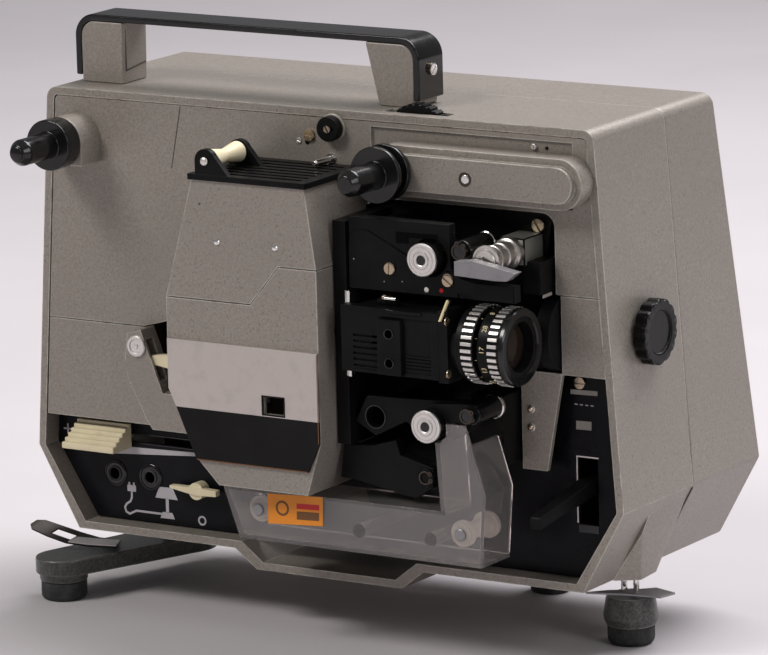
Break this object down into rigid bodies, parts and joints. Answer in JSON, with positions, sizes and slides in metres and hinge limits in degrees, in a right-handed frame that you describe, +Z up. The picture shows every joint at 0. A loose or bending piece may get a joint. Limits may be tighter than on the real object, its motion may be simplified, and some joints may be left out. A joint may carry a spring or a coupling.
{
  "type": "film projector",
  "caption": "Portable cine projector in a grey slant-sided case with a lamp house, lens, film path, folding reel arm, top handle and swing-out feet.",
  "frame": {"origin": "on the floor under the middle of the whole object", "axes": "+Z up, +X the way the lens points, -Y towards the side with the film path"},
  "size_m": [0.3051, 0.167, 0.2635],
  "materials": {
    "front_casting": "satin",
    "rear_cover": "satin",
    "upper_front_panel": "hammered",
    "lower_front_panels": "hammered",
    "control_panel": "satin",
    "lamp_sockets": "gloss",
    "case_screws": "satin",
    "handle_strap": "satin",
    "handle_blocks": "satin",
    "top_thumb_wheel": "satin",
    "framing_knob": "gloss",
    "release_plunger": "polished",
    "speed_slider": "satin",
    "selector_pointer": "satin",
    "rewind_lever": "satin",
    "focus_wheel": "satin",
    "inching_knob": "satin",
    "takeup_block": "satin",
    "takeup_spindle": "gloss",
    "supply_arm": "hammered",
    "supply_spindle": "gloss",
    "lamp_upper_cover": "satin",
    "lamp_lower_cover": "satin",
    "lamp_face_plate": "gloss",
    "lamp_grille": "satin",
    "rewind_roller": "satin",
    "lamp": "clear",
    "condenser_lens": "clear",
    "mechanism_plate": "satin",
    "upper_film_guard": "satin",
    "lower_film_guard": "satin",
    "lower_guide_arm": "satin",
    "upper_sprocket": "turned",
    "lower_sprocket": "turned",
    "feed_cylinder": "turned",
    "pinch_lever": "satin",
    "gate_plate": "polished",
    "film_claw": "satin",
    "shutter": "blackened",
    "main_shaft": "turned",
    "lens_carrier": "satin",
    "lens_barrel": "satin",
    "zoom_ring": "satin",
    "focus_ring": "satin",
    "lens_glass": "coated",
    "clear_film_channel": "clear",
    "channel_roller_left": "satin",
    "channel_roller_right": "satin",
    "motor": "satin",
    "fan_wheel": "satin",
    "drive_belt": "matte",
    "transformer": "varnished",
    "mains_inlet": "gloss",
    "side_bracket": "satin",
    "loop_lever": "satin",
    "swing_foot": "hammered",
    "swing_foot_pad": "matte",
    "front_foot": "hammered",
    "front_foot_pad": "matte",
    "rear_feet": "matte"
  },
  "bodies": {
    "case": {"front_casting": "front_casting", "rear_cover": "rear_cover", "upper_front_panel": "upper_front_panel", "lower_front_panels": "lower_front_panels", "control_panel": "control_panel", "lamp_sockets": "lamp_sockets", "case_screws": "case_screws", "handle_strap": "handle_strap", "handle_blocks": "handle_blocks", "takeup_block": "takeup_block", "lamp_lower_cover": "lamp_lower_cover", "lamp_face_plate": "lamp_face_plate", "lamp": "lamp", "condenser_lens": "condenser_lens", "mechanism_plate": "mechanism_plate", "upper_film_guard": "upper_film_guard", "lower_film_guard": "lower_film_guard", "lower_guide_arm": "lower_guide_arm", "gate_plate": "gate_plate", "clear_film_channel": "clear_film_channel", "motor": "motor", "drive_belt": "drive_belt", "transformer": "transformer", "mains_inlet": "mains_inlet", "side_bracket": "side_bracket", "rear_feet": "rear_feet"},
    "thumb_wheel": {"top_thumb_wheel": "top_thumb_wheel"},
    "framing": {"framing_knob": "framing_knob"},
    "plunger": {"release_plunger": "release_plunger"},
    "slider": {"speed_slider": "speed_slider"},
    "selector": {"selector_pointer": "selector_pointer"},
    "rewind": {"rewind_lever": "rewind_lever"},
    "focus_knob": {"focus_wheel": "focus_wheel"},
    "drive": {"main_shaft": "main_shaft", "inching_knob": "inching_knob"},
    "takeup": {"takeup_spindle": "takeup_spindle"},
    "arm": {"supply_arm": "supply_arm"},
    "supply": {"supply_spindle": "supply_spindle"},
    "lamp_cover": {"lamp_upper_cover": "lamp_upper_cover", "lamp_grille": "lamp_grille"},
    "roller": {"rewind_roller": "rewind_roller"},
    "sprocket_high": {"upper_sprocket": "upper_sprocket"},
    "sprocket_low": {"lower_sprocket": "lower_sprocket"},
    "feed": {"feed_cylinder": "feed_cylinder"},
    "pinch": {"pinch_lever": "pinch_lever"},
    "claw": {"film_claw": "film_claw"},
    "shutter_disc": {"shutter": "shutter"},
    "motor_rotor": {"fan_wheel": "fan_wheel"},
    "carrier": {"lens_carrier": "lens_carrier"},
    "lens": {"lens_barrel": "lens_barrel", "lens_glass": "lens_glass"},
    "zoom": {"zoom_ring": "zoom_ring"},
    "focus": {"focus_ring": "focus_ring"},
    "channel_left": {"channel_roller_left": "channel_roller_left"},
    "channel_right": {"channel_roller_right": "channel_roller_right"},
    "loop": {"loop_lever": "loop_lever"},
    "left_foot": {"swing_foot": "swing_foot", "swing_foot_pad": "swing_foot_pad"},
    "right_foot": {"front_foot": "front_foot", "front_foot_pad": "front_foot_pad"}
  },
  "joints": [
    {"name": "thumb_wheel_turn", "type": "hinge", "parent": "case", "child": "thumb_wheel", "pos_m": [0.049, -0.02755, 0.2212], "axis": [0, 1, 0], "range_deg": [-150, 150]},
    {"name": "framing_turn", "type": "hinge", "parent": "case", "child": "framing", "pos_m": [0.0102, -0.0365, 0.225], "axis": [0, 1, 0], "range_deg": [-150, 150]},
    {"name": "plunger_press", "type": "slide", "parent": "case", "child": "plunger", "axis": [0, 1, 0], "range_m": [0, 0.003], "stiffness_N_per_m": 300, "springref_m": -0.001},
    {"name": "speed_slide", "type": "slide", "parent": "case", "child": "slider", "axis": [1, 0, 0], "range_m": [0, 0.037]},
    {"name": "selector_turn", "type": "hinge", "parent": "case", "child": "selector", "pos_m": [-0.0698, -0.0275, 0.0552], "axis": [0, 1, 0], "range_deg": [-35, 35]},
    {"name": "rewind_slide", "type": "slide", "parent": "case", "child": "rewind", "axis": [0, 0, 1], "range_m": [-0.012, 0.008]},
    {"name": "main_turn", "type": "hinge", "parent": "case", "child": "drive", "pos_m": [0.1, -0.0055, 0.1425], "axis": [1, 0, 0], "continuous": true},
    {"name": "shutter_turn", "type": "hinge", "parent": "case", "child": "shutter_disc", "pos_m": [0.022, -0.0205, 0.144], "axis": [1, 0, 0], "continuous": true},
    {"name": "upper_sprocket_turn", "type": "hinge", "parent": "case", "child": "sprocket_high", "pos_m": [0.0775, -0.0565, 0.1798], "axis": [0, 1, 0], "continuous": true},
    {"name": "lower_sprocket_turn", "type": "hinge", "parent": "case", "child": "sprocket_low", "pos_m": [0.0775, -0.0565, 0.1081], "axis": [0, 1, 0], "continuous": true},
    {"name": "motor_turn", "type": "hinge", "parent": "case", "child": "motor_rotor", "pos_m": [0.06, 0.0395, 0.082], "axis": [1, 0, 0], "continuous": true},
    {"name": "feed_turn", "type": "hinge", "parent": "case", "child": "feed", "pos_m": [0.106, -0.0565, 0.181], "axis": [0, 1, 0], "continuous": true},
    {"name": "pinch_swing", "type": "hinge", "parent": "case", "child": "pinch", "pos_m": [0.0969, -0.0735, 0.1776], "axis": [0, 1, 0], "range_deg": [-25, 0]},
    {"name": "claw_pull", "type": "slide", "parent": "case", "child": "claw", "axis": [0, 0, 1], "range_m": [-0.0042, 0]},
    {"name": "takeup_turn", "type": "hinge", "parent": "case", "child": "takeup", "pos_m": [-0.1233, -0.0665, 0.2113], "axis": [0, 1, 0], "continuous": true},
    {"name": "arm_swing", "type": "hinge", "parent": "case", "child": "arm", "pos_m": [0.1283, -0.0365, 0.2109], "axis": [0, 1, 0], "range_deg": [0, 130]},
    {"name": "supply_turn", "type": "hinge", "parent": "arm", "child": "supply", "pos_m": [0.0456, -0.0665, 0.2109], "axis": [0, 1, 0], "continuous": true},
    {"name": "lamp_cover_pull", "type": "slide", "parent": "case", "child": "lamp_cover", "axis": [0, -1, 0], "range_m": [0, 0.06]},
    {"name": "rewind_roller_turn", "type": "hinge", "parent": "lamp_cover", "child": "roller", "pos_m": [-0.0255, -0.0665, 0.2155], "axis": [0, 1, 0], "continuous": true},
    {"name": "gate_open", "type": "slide", "parent": "case", "child": "carrier", "axis": [1, 0, 0], "range_m": [0, 0.006]},
    {"name": "lens_travel", "type": "slide", "parent": "carrier", "child": "lens", "axis": [1, 0, 0], "range_m": [-0.003, 0.003]},
    {"name": "zoom_turn", "type": "hinge", "parent": "lens", "child": "zoom", "pos_m": [0.102, -0.0635, 0.144], "axis": [1, 0, 0], "range_deg": [-40, 40]},
    {"name": "focus_ring_turn", "type": "hinge", "parent": "lens", "child": "focus", "pos_m": [0.114, -0.0635, 0.144], "axis": [1, 0, 0], "range_deg": [-90, 90]},
    {"name": "focus_wheel_turn", "type": "hinge", "parent": "case", "child": "focus_knob", "pos_m": [0.117, -0.027, 0.1439], "axis": [1, 0, 0], "range_deg": [-90, 90]},
    {"name": "channel_left_turn", "type": "hinge", "parent": "case", "child": "channel_left", "pos_m": [-0.0107, -0.0595, 0.062], "axis": [0, 1, 0], "continuous": true},
    {"name": "channel_right_turn", "type": "hinge", "parent": "case", "child": "channel_right", "pos_m": [0.0914, -0.0595, 0.062], "axis": [0, 1, 0], "continuous": true},
    {"name": "loop_swing", "type": "hinge", "parent": "case", "child": "loop", "pos_m": [-0.061, -0.0425, 0.116], "axis": [0, 1, 0], "range_deg": [-15, 15], "stiffness_Nm_per_rad": 0.02},
    {"name": "left_foot_swing", "type": "hinge", "parent": "case", "child": "left_foot", "pos_m": [-0.117, 0.0265, 0.02], "axis": [0, 0, 1], "range_deg": [0, 60]},
    {"name": "right_foot_screw", "type": "slide", "parent": "case", "child": "right_foot", "axis": [0, 0, 1], "range_m": [-0.008, 0]}
  ],
  "couplings": [
    {"joint": "shutter_turn", "follows": "main_turn", "ratio": -1},
    {"joint": "upper_sprocket_turn", "follows": "main_turn", "ratio": 0.083333},
    {"joint": "lower_sprocket_turn", "follows": "main_turn", "ratio": 0.083333},
    {"joint": "motor_turn", "follows": "main_turn", "ratio": 2.2222},
    {"joint": "focus_wheel_turn", "follows": "lens_travel", "rad_per_m": 500}
  ]
}
